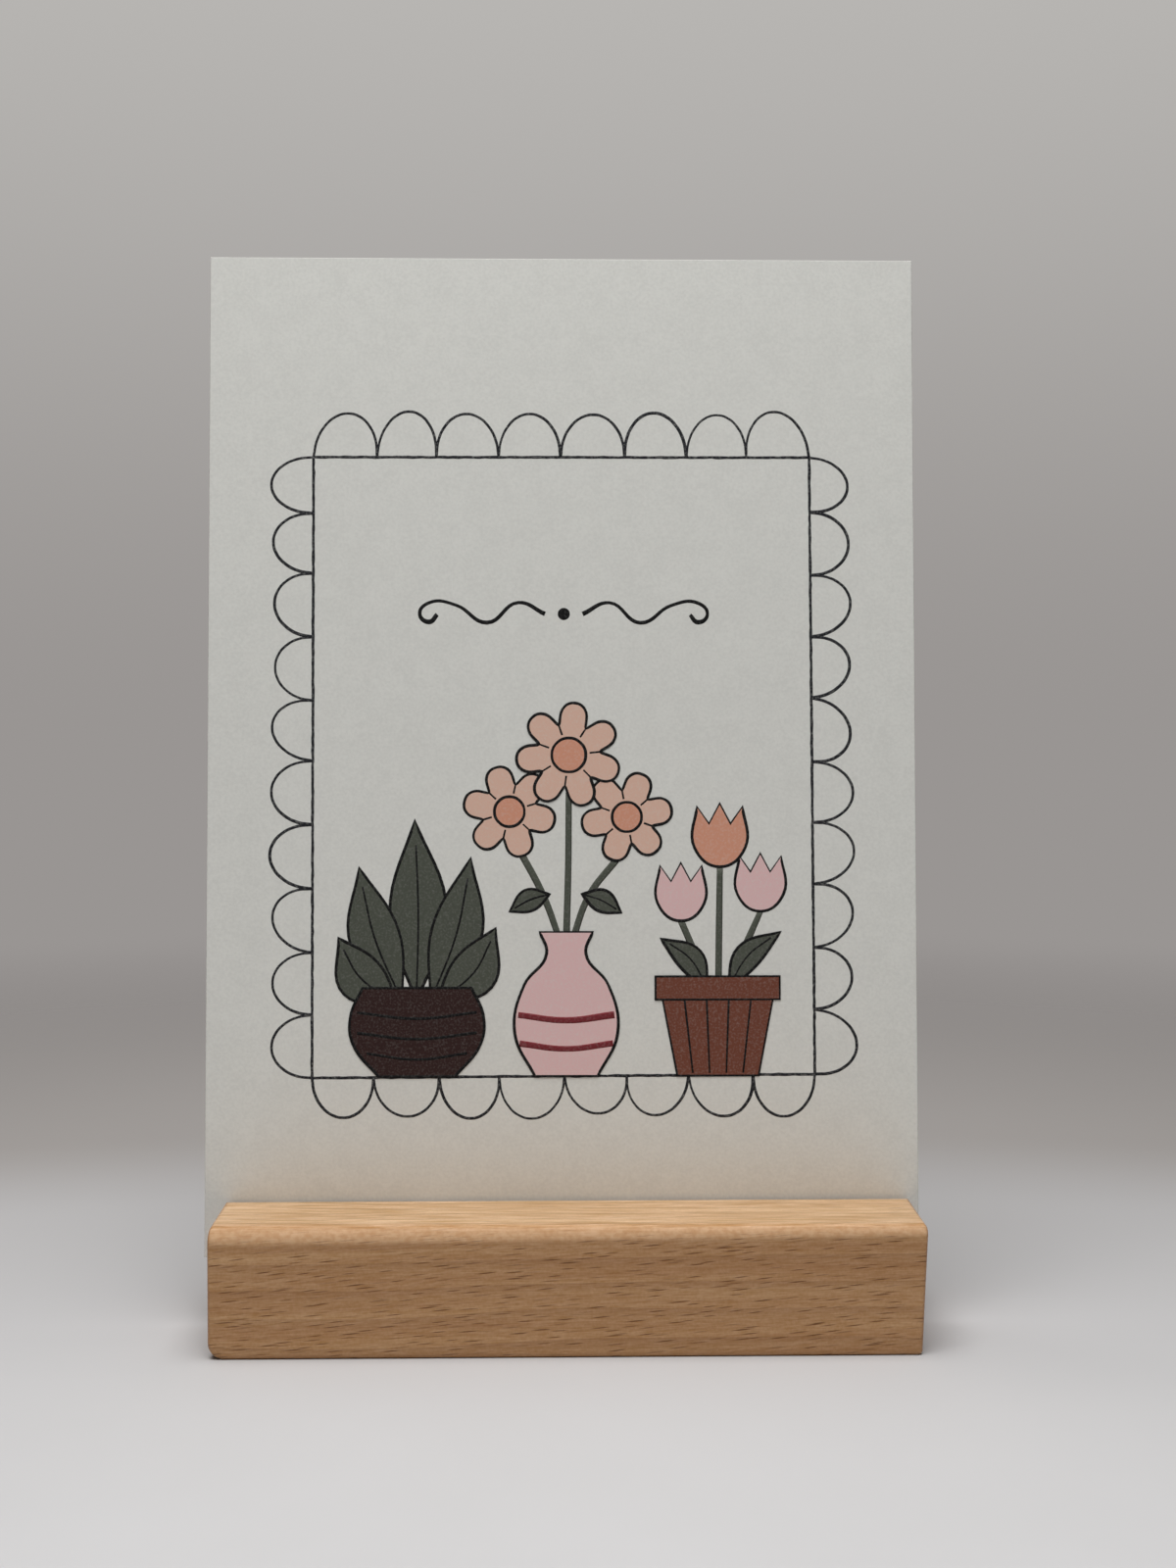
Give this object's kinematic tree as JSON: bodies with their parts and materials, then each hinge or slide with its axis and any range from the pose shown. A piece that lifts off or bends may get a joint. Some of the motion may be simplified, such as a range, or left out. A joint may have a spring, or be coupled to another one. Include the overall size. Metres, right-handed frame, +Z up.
{
  "type": "postcard in a wooden card holder",
  "caption": "Upright postcard of heavy board standing in the saw-cut slot of a low beech bar, tipped back a little; the card lifts out of the slot.",
  "frame": {"origin": "middle of the holder bar's underside", "axes": "+X along the bar, +Y from its front to its back, +Z up"},
  "size_m": [0.105, 0.03, 0.1576],
  "materials": {
    "beech": "sanded beech, lightly oiled, grain along the bar",
    "board": "uncoated off-white board, matt, with print on its face"
  },
  "bodies": {
    "holder": {"holder_block": "beech"},
    "card": {"postcard": "board"}
  },
  "joints": [
    {"name": "card_lift", "type": "slide", "parent": "holder", "child": "card", "axis": [0, 0.0611, 0.9981], "range_m": [0, 0.025]}
  ]
}
